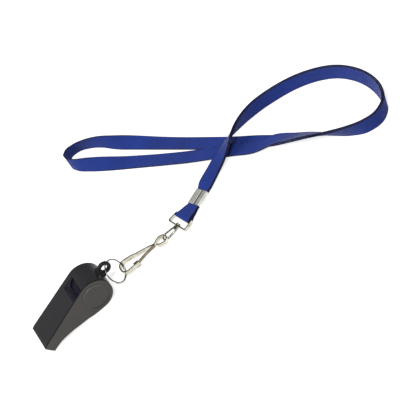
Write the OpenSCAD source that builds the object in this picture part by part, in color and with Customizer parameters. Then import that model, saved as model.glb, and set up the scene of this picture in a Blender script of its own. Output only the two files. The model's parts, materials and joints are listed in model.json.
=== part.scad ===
// Sports whistle with a split ring, a swivel snap hook and a flat neck strap.
// It lies on a table as it was put down. The mouth points to -X, the strap runs to +X,
// the raised disc faces -Y and the sound window faces up.

/* [Whistle] */
// Length of the flat top from the mouth to the middle of the barrel
top_len = 43.2; // [38:0.1:50]
// Outer radius of the barrel
barrel_r = 11.25; // [10:0.05:13]
// Height of the mouthpiece at the mouth
mouth_h = 7.3; // [6:0.1:8]
// Width of the whistle at the mouth
mouth_w = 21.8; // [19:0.1:24]
// Width of the whistle at the middle of the barrel
barrel_w = 19.7; // [18:0.1:20.5]
// Wall of the barrel and of the far side
wall = 1.6; // [1.2:0.1:2]
// Thickness of the near side cover
cover_t = 1; // [0.8:0.1:1.4]
// Depth of the seam groove round the cover
seam = 0.3; // [0.2:0.05:0.4]
// Radius of the raised disc on the cover
disc_r = 8.1; // [6:0.1:9]
// Height of the raised disc
disc_h = 0.5; // [0.3:0.1:0.8]
// How far the lower lip stays behind the upper one
lip = 0.8; // [0:0.1:1.2]

/* [Air way] */
// Length of the sound window along the top
window_len = 9.2; // [7:0.1:10]
// How far the window reaches behind the middle of the barrel
window_rear = 0.3; // [0:0.1:1]
// Solid margin between the window and the far side
window_margin = 3.4; // [2:0.1:5]
// Thickness of the roof over the windway
roof = 1.4; // [1:0.1:1.8]
// Height of the windway at the mouth
windway_in = 2.8; // [2.2:0.1:3.2]
// Height of the windway where it meets the window
windway_out = 1.3; // [1:0.1:1.8]
// Radius of the pea
pea_r = 5.2; // [4:0.1:5.6]

/* [Eyelet] */
// Distance from the barrel axis to the eyelet hole
eye_reach = 15.2; // [14.8:0.1:16]
// How far the eyelet drops from the line of the top, in degrees
eye_drop = 4.1; // [0:0.1:12]
// Outer radius of the eyelet
eye_r = 4.3; // [4:0.05:4.8]
// Radius of the eyelet hole
eye_hole_r = 2.1; // [2.05:0.05:2.4]
// Thickness of the eyelet
eye_t = 2.5; // [2.2:0.1:2.8]

/* [Split ring] */
// Radius of the ring at the middle of its wire
ring_r = 7.7; // [7.5:0.05:7.9]
// Thickness of the ring's wire
ring_wire = 0.8; // [0.6:0.05:0.85]
// Distance between the two turns
ring_pitch = 0.74; // [0.6:0.02:0.8]

/* [Snap hook] */
// Length of the hook from its bend to the end of its eye
hook_len = 35.2; // [34:0.1:36]
// Width that the outline of the hook is drawn to
hook_w = 10.8; // [10.4:0.1:11.2]
// Thickness of the hook's strip
hook_t = 0.8; // [0.6:0.05:0.9]
// Height of the hook's strip at the bend
hook_h = 3; // [2.6:0.1:3.2]
// Thickness of the gate's strip
gate_t = 0.45; // [0.3:0.05:0.5]
// Height of the gate's strip
gate_h = 2; // [1.4:0.1:2.4]
// Length of the clasp at the end of the gate
clasp_len = 3.4; // [2.6:0.1:4]

/* [Swivel] */
// Direction of the link in plan, in degrees
link_yaw = 9; // [6:0.5:14]
// Direction of the stud and the frame in plan, in degrees
swivel_yaw = 14; // [11:0.5:17]
// Thickness of the link's wire
link_wire = 1.2; // [1:0.05:1.25]
// Radius of the link where it goes round the hook's eye
link_r = 2.25; // [2.15:0.05:2.4]
// Distance from the hook's eye to the closed end of the link
link_len = 7.6; // [7:0.1:8.4]
// Radius of the stud's shank
shank_r = 0.7; // [0.6:0.05:0.72]
// Radius of the stud's head and collar
stud_r = 1.5; // [1.4:0.05:1.8]
// Length of the stud's collar
collar_len = 2.4; // [2.2:0.1:2.8]

/* [Strap frame] */
// Width of the frame at its base
frame_w = 16.8; // [16:0.1:18]
// Distance from the base to the bar
frame_len = 6.6; // [6:0.1:7.4]
// Thickness of the frame's strip
frame_t = 0.85; // [0.7:0.05:1]
// Height of the frame's strip
frame_h = 2; // [1.8:0.1:2.4]
// Radius of the frame's bar
bar_r = 0.65; // [0.5:0.05:0.7]

/* [Strap] */
// Width of the strap
strap_w = 9.5; // [9:0.1:9.6]
// Thickness of one layer of the strap
strap_t = 0.9; // [0.7:0.05:0.95]
// Space between the two layers where they lie together
layer_gap = 0.3; // [0.2:0.05:0.35]
// Width of the strap where it turns round the bar
fold_w = 12.6; // [10:0.1:12.8]
// Width of the strap where the crimp squeezes it
crimp_fit_w = 8.5; // [8:0.1:9]
// Length of the crimp
crimp_len = 10.5; // [9:0.1:11]
// Thickness of the crimp's sheet
crimp_wall = 0.45; // [0.4:0.05:0.6]
// Depth of the groove pressed into the crimp
groove = 0.32; // [0.2:0.02:0.35]

/* [Hidden] */

round_fn = 96;
wire_fn = 24;
small_fn = 32;
// Clearance of a loose fit, clearance of a running fit, and the overrun of every cut
loose = 0.3;
running = 0.12;
over = 1;

// How the whistle leans on its lower lip and its barrel
lip_run = top_len - lip;
lip_rise = barrel_r - mouth_h;
pitch = asin(barrel_r / norm([lip_run, lip_rise])) + atan2(lip_rise, lip_run);
half_taper = (mouth_w - barrel_w) / 2 / top_len;
face_yaw = atan(half_taper);
chamber_r = barrel_r - wall;
orbit_r = chamber_r - pea_r - loose;

// Underside of the mouthpiece: shares of the run and of the drop from lip to contact
under_shares = [[0.06, 0], [0.16, 0.017], [0.26, 0.075], [0.43, 0.24], [0.56, 0.41],
                [0.7, 0.592], [0.78, 0.728], [0.865, 0.846], [0.935, 0.928], [1, 1]];
contact = [-barrel_r * sin(pitch), -barrel_r * cos(pitch)];
mouth_low = [-lip_run, barrel_r - mouth_h];
bevel_share = 0.06;
bevel_drop_share = 0.05;
slope_shares = [0.45, 0.88];

// Eyelet: its centre over the table, seen from the barrel
eye_turn = pitch - eye_drop;
eye_centre = [eye_reach * cos(eye_turn), 0, barrel_r + eye_reach * sin(eye_turn)];
eye_round_share = 0.34;
neck_share = 0.85;
pad_share = 0.8;
pad_h = 0.9;
pad_t = 4.2;

// Split ring: it hangs in the eyelet hole and its lowest point lies near the table
ring_tilt = 68.6;
ring_yaw = -36.5;
ring_swing = 9.6;
ring_slack = ring_wire / 2 + ring_pitch / 2;
ring_play = 0.48;
ring_seat = eye_hole_r - ring_slack - ring_play;
ring_seat_shares = [0.59, -0.81];
ring_hang = eye_centre + ring_seat * [ring_seat_shares[0], 0, ring_seat_shares[1]];
ring_down = [cos(ring_tilt) * cos(ring_yaw), cos(ring_tilt) * sin(ring_yaw), -sin(ring_tilt)];
ring_side = [-sin(ring_yaw), cos(ring_yaw), 0];
ring_centre = ring_hang + ring_r * (cos(ring_swing) * ring_down + sin(ring_swing) * ring_side);
ring_ends = [-75, 75];
ring_notch = 4;

// Snap hook: its bend holds the bottom of the ring, and its strip stands on edge
ring_low = ring_centre + ring_r * ring_down;
hook_back = 0.15;
hook_rise = 0.13;
hook_x = ring_low[0] - hook_back;
hook_lift = ring_low[2] + ring_wire / 2 + ring_pitch / 2 * cos(ring_tilt) + hook_rise + running;
hook_z = hook_lift + hook_h / 2;
hook_shares = [[0.345, -0.352], [0.25, -0.356], [0.16, -0.349], [0.094, -0.335], [0.043, -0.25],
               [0.017, -0.09], [0.014, 0.12], [0.031, 0.373], [0.094, 0.535], [0.183, 0.526],
               [0.29, 0.44], [0.39, 0.317], [0.517, 0.213], [0.642, 0.088], [0.737, -0.019],
               [0.8, 0.055], [0.86, 0.125], [0.917, 0.115], [0.965, 0.012], [0.985, -0.157],
               [0.968, -0.34], [0.925, -0.435], [0.872, -0.438], [0.812, -0.362], [0.765, -0.22]];
hook_depth_shares = [[-0.1, 1], [0.3, 1], [0.735, 0.55], [0.8, 0.85], [0.9, 0.85], [0.97, 0.68],
                     [1.1, 0.68]];
gate_shares = [[0.738, -0.102], [0.71, -0.103], [0.6, -0.122], [0.485, -0.167], [0.38, -0.24],
               [0.345, -0.281]];
nose_inner = hook_shares[0][1] * hook_w + hook_t / 2;
eye_end_shares = hook_shares[19];
eye_wall = [hook_x + hook_len * eye_end_shares[0], hook_w * eye_end_shares[1]];

// Swivel: the stud turns in the frame's base and holds the closed end of the link
frame_drop = 0.65;
frame_z = hook_z - frame_drop;
link_corner_share = 0.65;
link_end_share = 0.66;
link_end_h = link_r * link_end_share;
collar_play_share = 0.8;
collar_hole_r = link_wire / 2 + loose * collar_play_share;
base_at = collar_len / 2 + running;
head_t = 0.9;
bar_share = 0.9;
frame_end_share = 0.92;
frame_corner_r = 1.4;
frame_over = 0.35;
frame_tail = frame_len + bar_r + frame_over;

// Strap: one strip, doubled from the crimp to where the two bands part
layer_off = (strap_t + layer_gap) / 2;
stack_t = 2 * strap_t + layer_gap;
crimp_h = stack_t + 2 * crimp_wall + running;
crimp_z = crimp_h / 2;
crimp_yaw = 24;
fold_r = bar_r + running + strap_t / 2;
bar_place = swivel_point(base_at + frame_len);
crimp_reach = 15.6;
crimp_turn = 21;
crimp_xy = [bar_place[0] + crimp_reach * cos(crimp_turn), bar_place[1] + crimp_reach * sin(crimp_turn)];
edge_share = 0.3;
mix_share = 0.55;

// Route of the doubled strap from the crimp: across, along, lift and lean of the strip
// lean is in degrees from upright towards the left of the way that it runs
double_route = [
    [8.5, 4, 0.8, -96], [18, 9, 1.7, -91], [25, 11.6, 2.7, -85], [31, 13.4, 3.3, -70],
    [36, 16.2, 3.2, -56], [42, 19.7, 2.4, -39], [50, 23.5, 0.8, -20], [62, 25.5, 0.2, 0],
    [77, 23.5, 0, 8], [91, 19, 0, 8], [103, 12, 0, 9], [113, 2.5, 0, 14], [120, -10, 0, 21],
    [123.5, -24, 0, 26], [123, -37, 0, 24], [119.5, -47, 0, 9], [112, -51.5, 0, -4],
    [102, -50, 0, -7], [93, -44, 0, 9], [84, -35, 0, 30], [74, -23, 0, 52], [66.5, -15, 0, 64],
    [59, -6.5, 0, 78]];
// Route of the single strap round the far loop and back
single_route = [
    [49, 6, 0, 90], [37, 20, 0, 90], [26, 34, 0, 90], [14, 49.5, 0, 90], [2, 65, 0, 96],
    [-10.5, 80.5, 0, 115], [-19, 90, 0, 143], [-26.5, 99.5, 0, 165], [-34, 106.5, 0, 179],
    [-41, 110.5, 0, 188], [-47, 111, 0, 187], [-50.5, 108, 0, 184], [-50.5, 103, 0, 188],
    [-47.5, 97, 0, 200], [-41.5, 90.5, 0, 217], [-34, 83, 0, 238], [-26, 75, 0, 256],
    [-13, 61.5, 0, 267], [0, 47, 0.6, 271], [12, 34, 1.1, 271], [24, 22.5, 1.2, 271],
    [36, 11.5, 1.2, 271], [45, 2.5, 1.2, 271]];

// Length of the object without its strap, and the middle of it
rear_x = frame_corner(frame_tail, -frame_w / 2 * frame_end_share)[0];
front_x = -top_len * cos(pitch) - (barrel_r - mouth_h * bevel_drop_share) * sin(pitch);
mid_x = (rear_x + front_x) / 2;

function unit(v) = v / norm(v);
function reversed(list) = [for (i = [len(list) - 1 : -1 : 0]) list[i]];
function catmull(a, b, c, d, t) =
    (2 * b + (c - a) * t + (2 * a - 5 * b + 4 * c - d) * t * t
     + (3 * b - a - 3 * c + d) * t * t * t) / 2;
function smooth(p, n) = [
    for (i = [0 : len(p) - 2], k = [0 : n - 1])
        catmull(p[max(i - 1, 0)], p[i], p[i + 1], p[min(i + 2, len(p) - 1)], k / n),
    p[len(p) - 1]];
function way(p, i) = unit(p[min(i + 1, len(p) - 1)] - p[max(i - 1, 0)]);
function beside(p, off) = [for (i = [0 : len(p) - 1]) p[i] + off * [-way(p, i)[1], way(p, i)[0]]];
function scaled(shares, x, y) = [for (s = shares) [s[0] * x, s[1] * y]];
function swivel_point(s) = [
    eye_wall[0] + link_len * cos(link_yaw) + s * cos(swivel_yaw),
    eye_wall[1] + link_len * sin(link_yaw) + s * sin(swivel_yaw)];
function frame_corner(x, y) =
    swivel_point(base_at) + x * [cos(swivel_yaw), sin(swivel_yaw)]
    + y * [-sin(swivel_yaw), cos(swivel_yaw)];

// Sections of the strap: middle, width direction, face direction and half width
// The strip starts in the crimp, turns round the bar, goes out, comes back and ends in the crimp
function flat(p) = [p[0], p[1]];
function crimp_section(x, side) =
    [[crimp_xy[0] + x * cos(crimp_yaw), crimp_xy[1] + x * sin(crimp_yaw), crimp_z + side * layer_off],
     [sin(crimp_yaw), -cos(crimp_yaw), 0], [0, 0, side], crimp_fit_w / 2];
function fold_section(a) =
    let (n = [cos(a) * cos(swivel_yaw), cos(a) * sin(swivel_yaw), sin(a)])
        [[bar_place[0], bar_place[1], frame_z] + fold_r * n, [sin(swivel_yaw), -cos(swivel_yaw), 0],
         n, fold_w / 2];
function mix_section(a, b, t) =
    [a[0] * (1 - t) + b[0] * t, unit(a[1] * (1 - t) + b[1] * t), unit(a[2] * (1 - t) + b[2] * t),
     a[3] * (1 - t) + b[3] * t];
function route_section(p, i, layer, thick) =
    let (h = way([for (q = p) flat(q)], i), left = [-h[1], h[0], 0], lean = p[i][3],
         w = left * sin(lean) + [0, 0, cos(lean)], n = left * cos(lean) - [0, 0, sin(lean)],
         z = p[i][2] + strap_w / 2 * abs(cos(lean)) + thick / 2 * abs(sin(lean)))
        [[crimp_xy[0] + p[i][0], crimp_xy[1] + p[i][1], z] + layer * n, w, n, strap_w / 2];
function turned(s) = [s[0], s[1], -s[2], s[3]];
function strap_sections() =
    let (mouth = crimp_len / 2 + loose, last = len(double_route) - 1,
         low = crimp_section(-mouth, -1), high = crimp_section(-mouth, 1))
        concat(
            [crimp_section(-loose, -1), low, mix_section(low, fold_section(-90), mix_share)],
            [for (a = [270 : -45 : 90]) fold_section(a)],
            [mix_section(high, fold_section(90), mix_share), high, crimp_section(mouth, 1)],
            [for (i = [0 : last]) route_section(double_route, i, layer_off, stack_t)],
            [for (i = [0 : len(single_route) - 1]) route_section(single_route, i, 0, strap_t)],
            [for (i = [last : -1 : 0]) turned(route_section(double_route, i, -layer_off, stack_t))],
            [crimp_section(mouth, -1), crimp_section(loose, -1)]);

// Everything is drawn from the barrel's place on the table, then moved to the middle
module place() {
    translate([-mid_x, 0, 0]) children();
}

module in_whistle() {
    place() translate([0, 0, barrel_r]) rotate([0, -pitch, 0]) children();
}

module in_hook() {
    place() translate([hook_x, 0, 0]) children();
}

module in_link() {
    place() translate([eye_wall[0], eye_wall[1], hook_z]) rotate([0, 0, link_yaw]) children();
}

module in_swivel(s) {
    place() translate([swivel_point(s)[0], swivel_point(s)[1], 0]) rotate([0, 0, swivel_yaw])
        children();
}

// A strip of even thickness along a smooth centre line
module strip(points, thick, steps) {
    line = smooth(points, steps);
    polygon(concat(beside(line, thick / 2), reversed(beside(line, -thick / 2))));
}

// A rectangle with round corners, about its middle
module rounded(w, h, r) {
    square([w - 2 * r, h], center = true);
    square([w, h - 2 * r], center = true);
    for (x = [-1, 1], y = [-1, 1])
        translate([x * (w / 2 - r), y * (h / 2 - r)]) circle(r = r, $fn = small_fn);
}

// One closed surface through rings that all have the same number of points
// Its two halves are split into triangles alike, so a twisted strip keeps its thickness
module skin(rings, closed) {
    n = len(rings);
    m = len(rings[0]);
    last = closed ? n - 1 : n - 2;
    sides = [for (i = [0 : last], k = [0 : m - 1])
        each let (j = (i + 1) % n, l = (k + 1) % m,
                  a = i * m + k, b = i * m + l, c = j * m + l, d = j * m + k)
            k < m / 2 || l == 0 ? [[a, b, c], [a, c, d]] : [[a, b, d], [b, c, d]]];
    caps = closed ? [] : concat(
        [for (k = [1 : m - 2]) [0, k + 1, k]],
        [for (k = [1 : m - 2]) [(n - 1) * m, (n - 1) * m + k, (n - 1) * m + k + 1]]);
    polyhedron(points = [for (r = rings) each r], faces = concat(sides, caps), convexity = 10);
}

// Side outline of the whistle, drawn in by a given amount
module side_outline(inset) {
    run = contact[0] - mouth_low[0];
    drop = contact[1] - mouth_low[1];
    under = smooth([for (s = under_shares)
        [mouth_low[0] + run * s[0], mouth_low[1] + drop * s[1] + inset]], 4);
    circle(r = barrel_r - inset, $fn = round_fn);
    polygon(concat(
        [[0, 0], [0, barrel_r - inset],
         [-top_len * (1 - bevel_share), barrel_r - inset],
         [-top_len + inset, barrel_r - inset - mouth_h * bevel_drop_share],
         [mouth_low[0] + inset, mouth_low[1] + inset]],
        under));
}

module upright(h) {
    rotate([90, 0, 0]) linear_extrude(h, center = true) children();
}

function half_w(x) = mouth_w / 2 - half_taper * (x + top_len);

// Plan slab between two distances in from the near face
module near_slab(from, to) {
    long = lip_run + barrel_r + over;
    linear_extrude(4 * barrel_r, center = true)
        polygon([[-long, -half_w(-long) + from], [-long, -half_w(-long) + to],
                 [long, -half_w(long) + to], [long, -half_w(long) + from]]);
}

// Plan slab of the whistle between a distance in from the near face and one from the far face
module plan_slab(near, far) {
    long = lip_run + barrel_r + over;
    linear_extrude(4 * barrel_r, center = true)
        polygon([[-long, -half_w(-long) + near], [-long, half_w(-long) - far],
                 [long, half_w(long) - far], [long, -half_w(long) + near]]);
}

module air_way() {
    left = -window_len + window_rear;
    intersection() {
        upright(2 * mouth_w)
            polygon([[-lip_run - over, barrel_r - roof], [left, barrel_r - roof],
                     [left + over, barrel_r - roof], [left + over, barrel_r - roof - windway_out],
                     [left, barrel_r - roof - windway_out],
                     [-lip_run - over, barrel_r - roof - windway_in]]);
        plan_slab(-over, wall);
    }
    intersection() {
        upright(2 * mouth_w)
            polygon([[left, 0], [left, barrel_r + over], [window_rear, barrel_r + over],
                     [window_rear, barrel_r - seam],
                     [chamber_r * slope_shares[0], chamber_r * slope_shares[1]],
                     [chamber_r * slope_shares[0], 0]]);
        plan_slab(-over, window_margin);
    }
    intersection() {
        upright(2 * mouth_w) circle(r = chamber_r, $fn = round_fn);
        plan_slab(-over, wall);
    }
}

module eyelet() {
    base = barrel_r * neck_share;
    rotate([0, eye_drop, 0]) difference() {
        union() {
            translate([eye_reach, 0, 0]) rotate([90, 0, 0]) rotate_extrude($fn = round_fn)
                translate([(eye_r + eye_hole_r) / 2, 0])
                    rounded(eye_r - eye_hole_r, eye_t, eye_t * eye_round_share);
            intersection() {
                translate([base, -eye_t * neck_share / 2, -eye_r * neck_share])
                    cube([eye_reach - base, eye_t * neck_share, 2 * eye_r * neck_share]);
                translate([eye_reach, 0, 0]) rotate([90, 0, 0]) difference() {
                    cylinder(r = eye_reach - base, h = eye_t, center = true, $fn = round_fn);
                    cylinder(r = (eye_r + eye_hole_r) / 2, h = eye_t + over, center = true,
                             $fn = round_fn);
                }
            }
            translate([base, -pad_t / 2, -eye_r * pad_share])
                cube([barrel_r + pad_h - base, pad_t, 2 * eye_r * pad_share]);
        }
        translate([eye_reach, 0, 0]) rotate([90, 0, 0])
            cylinder(r = eye_hole_r, h = pad_t + over, center = true, $fn = round_fn);
    }
}

module whistle_body() {
    color("#2f2f31") in_whistle() difference() {
        union() {
            intersection() {
                upright(2 * mouth_w) side_outline(0);
                plan_slab(cover_t, 0);
            }
            eyelet();
        }
        air_way();
    }
}

module side_cover() {
    color("#45433f") in_whistle() {
        intersection() {
            upright(2 * mouth_w) side_outline(0);
            near_slab(0, cover_t - seam);
        }
        intersection() {
            upright(2 * mouth_w) side_outline(seam);
            near_slab(0, cover_t);
        }
        translate([0, -barrel_w / 2, 0]) rotate([0, 0, face_yaw]) rotate([90, 0, 0])
            translate([0, 0, -cover_t / 2])
                cylinder(r = disc_r, h = disc_h + cover_t / 2, $fn = round_fn);
    }
}

module pea() {
    color("#26221f") place() translate([0, 0, barrel_r - orbit_r])
        sphere(r = pea_r, $fn = 64);
}

module split_ring() {
    color("#c9c9c4") place() translate(ring_centre) rotate([0, ring_tilt, ring_yaw])
        for (side = [0, 1]) rotate([0, 0, ring_ends[side] + ring_notch / 2])
            rotate_extrude(angle = 360 - ring_notch, $fn = round_fn)
                translate([ring_r, (side - 0.5) * ring_pitch])
                    circle(r = ring_wire / 2, $fn = wire_fn);
}

module hook_body() {
    color("#b9b7aa") in_hook() intersection() {
        translate([0, 0, hook_lift]) linear_extrude(hook_h)
            strip(scaled(hook_shares, hook_len, hook_w), hook_t, 6);
        translate([0, 0, hook_z]) upright(3 * hook_w)
            polygon(concat(
                [for (s = hook_depth_shares) [s[0] * hook_len, s[1] * hook_h / 2]],
                [for (s = reversed(hook_depth_shares)) [s[0] * hook_len, -s[1] * hook_h / 2]]));
    }
}

// Sprung strip with a channel at its end that laps over the hook's nose
module hook_gate() {
    plate_y = nose_inner + running + gate_t / 2;
    clasp_x = gate_shares[5][0] * hook_len;
    clasp_h = hook_h + 2 * running + 2 * gate_t;
    color("#a9a697") in_hook() translate([0, 0, hook_z]) {
        linear_extrude(gate_h, center = true)
            strip(scaled(gate_shares, hook_len, hook_w), gate_t, 6);
        translate([clasp_x - clasp_len, plate_y - gate_t / 2, -clasp_h / 2])
            cube([clasp_len, gate_t, clasp_h]);
        for (side = [-1, 1])
            translate([clasp_x - clasp_len, plate_y - gate_t / 2 - hook_t, -gate_t / 2
                       + side * (clasp_h / 2 - gate_t / 2)])
                cube([clasp_len, hook_t + gate_t, gate_t]);
    }
}

// Pear shaped loop of wire in the upright plane of the swivel
module swivel_link() {
    fall = frame_z - hook_z;
    corner = link_end_h * link_corner_share;
    round_end = [for (a = [90 : 15 : 270]) [link_r * cos(a), link_r * sin(a)]];
    function end_arc(side, from) = [for (a = [from : 18 : from + 90])
        [link_len - corner + corner * cos(a), fall + side * (link_end_h - corner) + corner * sin(a)]];
    line = concat(round_end, end_arc(-1, -90), end_arc(1, 0));
    n = len(line);
    rings = [for (i = [0 : n - 1])
        let (t = unit(line[(i + 1) % n] - line[(i + n - 1) % n]), side = [-t[1], t[0]])
            [for (a = [0 : 30 : 330])
                [line[i][0] + side[0] * cos(a) * link_wire / 2, sin(a) * link_wire / 2,
                 line[i][1] + side[1] * cos(a) * link_wire / 2]]];
    color("#a8a59a") in_link() skin(rings, true);
}

module swivel_stud() {
    head_at = base_at + frame_t + running;
    color("#c4c2b6") in_swivel(0) translate([0, 0, frame_z]) difference() {
        union() {
            intersection() {
                rotate([0, 90, 0])
                    cylinder(r = stud_r, h = collar_len, center = true, $fn = small_fn);
                cube([2 * collar_len, 4 * stud_r, stud_r], center = true);
            }
            translate([collar_hole_r, 0, 0]) rotate([0, 90, 0])
                cylinder(r = shank_r, h = head_at + running - collar_hole_r, $fn = small_fn);
            translate([head_at, 0, 0]) rotate([0, 90, 0])
                cylinder(r = stud_r, h = head_t, $fn = small_fn);
        }
        cylinder(r = collar_hole_r, h = 4 * stud_r, center = true, $fn = small_fn);
    }
}

// Plan of the frame between its base and its open end, drawn in by a given amount
module frame_plan(inset, reach) {
    r = frame_corner_r;
    y = frame_w / 2 - r;
    end_y = frame_w / 2 * frame_end_share - inset;
    polygon(concat(
        [for (a = [90 : 10 : 180]) [r + (r - inset) * cos(a), y + (r - inset) * sin(a)]],
        [for (a = [180 : 10 : 270]) [r + (r - inset) * cos(a), -y + (r - inset) * sin(a)]],
        [[reach, -end_y], [reach, end_y]]));
}

module strap_frame() {
    color("#bdbbb0") in_swivel(base_at) translate([0, 0, frame_z]) {
        difference() {
            linear_extrude(frame_h, center = true) difference() {
                frame_plan(0, frame_tail);
                frame_plan(frame_t, frame_tail + over);
            }
            rotate([0, 90, 0])
                cylinder(r = shank_r + running, h = 4 * frame_t, center = true, $fn = small_fn);
        }
        translate([frame_len, 0, 0]) rotate([90, 0, 0])
            cylinder(r = bar_r, h = frame_w * bar_share, center = true, $fn = small_fn);
    }
}

module strap_crimp() {
    w = crimp_fit_w + 2 * crimp_wall + running;
    color("#c2c0b6") place() translate([crimp_xy[0], crimp_xy[1], crimp_z])
        rotate([0, 0, crimp_yaw]) rotate([90, 0, 90]) linear_extrude(crimp_len, center = true)
            difference() {
                rounded(w, crimp_h, crimp_h / 3);
                square([crimp_fit_w + running, stack_t + running], center = true);
                translate([0, crimp_h / 2])
                    polygon([[-2 * groove, over], [-2 * groove, 0], [0, -groove],
                             [2 * groove, 0], [2 * groove, over]]);
            }
}

module neck_strap() {
    function ring(c, w, n, half) = [for (q = [[1, 1 - edge_share], [1 - edge_share, 1],
        [edge_share - 1, 1], [-1, 1 - edge_share], [-1, edge_share - 1], [edge_share - 1, -1],
        [1 - edge_share, -1], [1, edge_share - 1]])
            c + w * half * (abs(q[0]) < 1 ? 1 - strap_t / strap_w * edge_share : 1) * sign(q[0])
            + n * strap_t / 2 * q[1]];
    color("#23408c") place() skin([for (s = strap_sections()) ring(s[0], s[1], s[2], s[3])], false);
}

whistle_body();
side_cover();
pea();
split_ring();
hook_body();
hook_gate();
swivel_link();
swivel_stud();
strap_frame();
strap_crimp();
neck_strap();
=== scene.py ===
import json
import math

import bmesh
import bpy
from bpy.props import FloatProperty, FloatVectorProperty, IntProperty, PointerProperty
from mathutils import Matrix, Vector


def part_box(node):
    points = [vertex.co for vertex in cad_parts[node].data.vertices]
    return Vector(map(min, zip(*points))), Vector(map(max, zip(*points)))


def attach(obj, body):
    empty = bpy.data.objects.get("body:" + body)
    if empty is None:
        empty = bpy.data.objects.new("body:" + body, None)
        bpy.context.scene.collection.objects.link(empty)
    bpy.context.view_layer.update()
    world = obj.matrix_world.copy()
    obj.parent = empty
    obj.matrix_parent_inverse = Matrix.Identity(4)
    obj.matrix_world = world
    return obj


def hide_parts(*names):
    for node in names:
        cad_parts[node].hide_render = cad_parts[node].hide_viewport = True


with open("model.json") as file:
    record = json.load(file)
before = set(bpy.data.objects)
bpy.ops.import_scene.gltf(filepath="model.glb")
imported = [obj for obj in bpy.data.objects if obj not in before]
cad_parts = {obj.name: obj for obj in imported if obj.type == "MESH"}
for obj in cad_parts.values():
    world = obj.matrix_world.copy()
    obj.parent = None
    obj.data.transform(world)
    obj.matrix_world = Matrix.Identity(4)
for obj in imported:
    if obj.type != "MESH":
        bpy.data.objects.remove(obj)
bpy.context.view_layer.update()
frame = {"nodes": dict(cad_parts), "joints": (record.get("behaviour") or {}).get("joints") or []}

bl_info = {
    "name": "Sports whistle",
    "version": (1, 0, 0),
    "blender": (4, 5, 0),
    "location": "3D View > Sidebar > Whistle",
    "description": "Builds a pea whistle with its ring, snap hook and woven neck strap",
    "category": "Object",
}

MM = 0.001
joints = {joint["name"]: joint for joint in frame["joints"]}

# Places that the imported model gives: the barrel's axis, the frame's bar and the crimp
barrel_axis = Vector(joints["pea_roll"]["pos_m"])
bar_middle = Vector(joints["strap_swing"]["pos_m"])
crimp_middle = (Vector(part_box("strap_crimp")[0]) + Vector(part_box("strap_crimp")[1])) / 2
swivel_yaw = math.atan2(joints["swivel_turn"]["axis"][1], joints["swivel_turn"]["axis"][0])
crimp_yaw = math.radians(24)

# Sizes of the strap in metres, as in the part
strap_width = 0.0095
strap_thickness = 0.0009
layer_space = 0.0006
stack_height = 0.0021
crimp_half = 0.00525
crimp_strap_width = 0.0085
fold_width = 0.0126
fold_radius = 0.00122
mouth_gap = 0.0003

# Where the strap bends between the crimp and the fold, as a share of the way, and how far
# apart its sections are laid, in metres
fold_mix = 0.55
section_space = 0.0014

# Sizes of the swivel's link in metres, as in the part, and the steps round its ends
link_r = 0.00225
link_length = 0.0076
link_end = 0.001485
link_corner = 0.000965
link_round_step = 6
link_corner_steps = 8

# The split ring's wire: its start and its sweep in degrees, its number of points, and the
# shares of its length between which it steps over itself
ring_start = -73
ring_sweep = 506
ring_points = 320
ring_step_from = 0.48
ring_step_to = 0.72

# Corners are merged within this distance in metres, and faces within this angle in degrees
merge_distance = 0.000002
flat_angle = 0.4

# Rounding of the body's outer edges, the crimp and the stud, in metres
body_round = 0.0003
crimp_round = 0.00016
stud_round = 0.00008

# Edges sharper than this, in degrees, are rounded. The outer rounding is for sharper edges of
# faces larger than the area in square metres
sharp_angle = 35
outer_angle = 60
wide_area = 1.5e-4

# A strip's sheared edge has a normal that looks up or down at least this much
sheared_up = 0.8

# A face of the cover or the body that looks to the side less than this is not flat
flat_side = 0.97

# The cover's rim lies further out than this, in metres, and looks less to the side
rim_from = 0.0095
rim_side = 0.85

# The body's edge along the cover lies beyond this plane, in metres, and looks more that way
joint_plane = -0.008
joint_side = 0.15

# The edge of the raised disc, which takes a painted highlight, in metres: its two radii and
# its foot on the cover
disc_inside = 0.0074
disc_outside = 0.0086
disc_foot = -0.0096

# The painted shadow along the disc's foot in metres: its radius, and the half widths where it
# starts to fade and ends. It grows between two slopes below the disc's middle
foot_r = 0.0085
foot_inner = 0.00035
foot_outer = 0.0006
foot_start = -0.62
foot_full = -0.8

# The hollow of the whistle in metres, where the plastic is painted paler as light inside it, and
# how far down a face of it may look
hollow_r = 0.0103
hollow_half = 0.0088
hollow_front = -0.0265
hollow_down = -0.5

# The eyelet's faces are further from the barrel's axis than this, in metres. They take this
# share of the dark edge colour
eyelet_from = 0.0119
eyelet_share = 0.45

# The barrel's radius and half the width of its parting line, in metres
barrel_r = 0.01125
line_half = 0.00022

# The groove along the crimp in metres: its place across, and the half widths where it starts
# to fade and ends
seam_across = -0.0009
seam_inner = 0.00025
seam_outer = 0.0006

# How much lighter the plastic's pale patches are, and the share of the selvedge that is all navy
patch_gain = 1.25
selvedge_full = 0.4

# Sizes of the patterns on the surfaces, in metres
plastic_patch = 0.012
cork_grain = 0.0012
plating_patch = 0.003
drawn_line = 0.0004
cloth_patch = 0.015
cloth_fuzz = 0.0006

# How strongly the yarns show beside the ribs, and the weave and the fuzz in the colour
yarn_share = 0.6
weave_tone = 0.09
fuzz_tone = 0.22

# The dark edge's colour, painted shade along the seam between cover and body, also used on
# the eyelet and for the painted shadow below the disc; and how much rougher the edge is than
# the plastic
dark_edge_colour = "#0e0e11"
dark_edge_roughness = 0.4

# The camera: its lens in mm, the directions of its right and its back, and its place in metres
# from the barrel's axis along X and from the table's origin
camera_lens = 147.87
camera_right = (0.7565, -0.4347, -0.4879)
camera_back = (0.0200, -0.7305, 0.6821)
camera_place = (0.1046, -0.7264, 0.6843)

# The table's half width, its depth under the pieces and where the lamps look, in metres
table_reach = 4.0
table_depth = -0.00005
lamp_aim = (0.05, 0.03, 0)

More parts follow.
